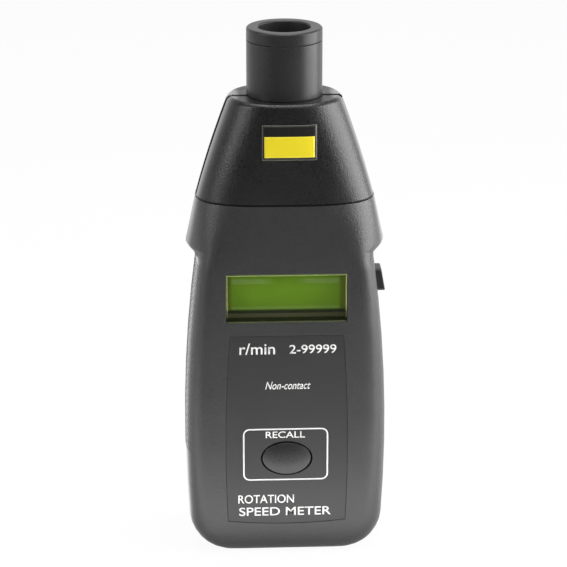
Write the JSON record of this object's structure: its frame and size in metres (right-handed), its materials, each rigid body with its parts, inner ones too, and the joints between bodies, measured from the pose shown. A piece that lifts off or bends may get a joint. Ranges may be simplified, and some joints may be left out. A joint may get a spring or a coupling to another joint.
{
  "type": "laser tachometer",
  "caption": "Hand-held laser tachometer with a necked, barrel-sided grip, a tapered head with a tubular nose, a display, a memory button, a side button and a battery door.",
  "frame": {"origin": "centre of the flat base that it stands on, on the axis of the nose", "axes": "+Z from the base to the nose, -Y out of the display, +X to the side with the measuring button"},
  "size_m": [0.072, 0.0383, 0.19],
  "materials": {
    "case": "fine spark-eroded dark grey moulding",
    "head": "fine spark-eroded dark grey moulding",
    "nose": "satin black moulding",
    "lens": "clear glass",
    "window": "clear acrylic",
    "display": "olive green display glass",
    "pale_plastic": "natural moulding",
    "strips": "pink elastomer",
    "label": "printed dark grey sheet",
    "board": "green circuit board",
    "black_parts": "black component",
    "brass": "turned brass",
    "steel": "plated steel",
    "can": "drawn can",
    "cell": "sleeved cell"
  },
  "bodies": {
    "case": {"front_shell": "case", "rear_shell": "case", "head_front": "head", "head_rear": "head", "nose_tube": "nose", "nose_ring": "nose", "objective_lens": "lens", "display_window": "window", "display_glass": "display", "display_holder": "pale_plastic", "contact_strips": "strips", "label_plate": "label", "memory_switch": "black_parts", "measure_switch": "black_parts", "main_board": "board", "processor_chip": "black_parts", "timing_crystal": "can", "capacitor": "can", "optics_holder": "black_parts", "laser_module": "brass", "photo_sensor": "black_parts", "sensor_board": "board", "battery_cell_1": "cell", "battery_cell_2": "cell", "battery_cell_3": "cell", "battery_cell_4": "cell", "lower_contacts": "steel", "upper_contacts": "steel", "case_screws": "steel", "head_screws": "steel", "board_screws": "steel", "optics_screws": "steel"},
    "memory": {"memory_button": "case", "memory_plunger": "pale_plastic"},
    "measure": {"measure_button": "case", "measure_plunger": "pale_plastic"},
    "door": {"battery_door": "case"}
  },
  "joints": [
    {"name": "memory_press", "type": "slide", "parent": "case", "child": "memory", "axis": [0, 1, 0], "range_m": [0, 0.0008], "stiffness_N_per_m": 600, "springref_m": -0.0003},
    {"name": "measure_press", "type": "slide", "parent": "case", "child": "measure", "axis": [-1, 0, 0], "range_m": [0, 0.001], "stiffness_N_per_m": 600, "springref_m": -0.0003},
    {"name": "door_swing", "type": "hinge", "parent": "case", "child": "door", "pos_m": [0, 0.0169, 0.014], "axis": [-1, 0, 0], "range_deg": [0, 80]}
  ]
}
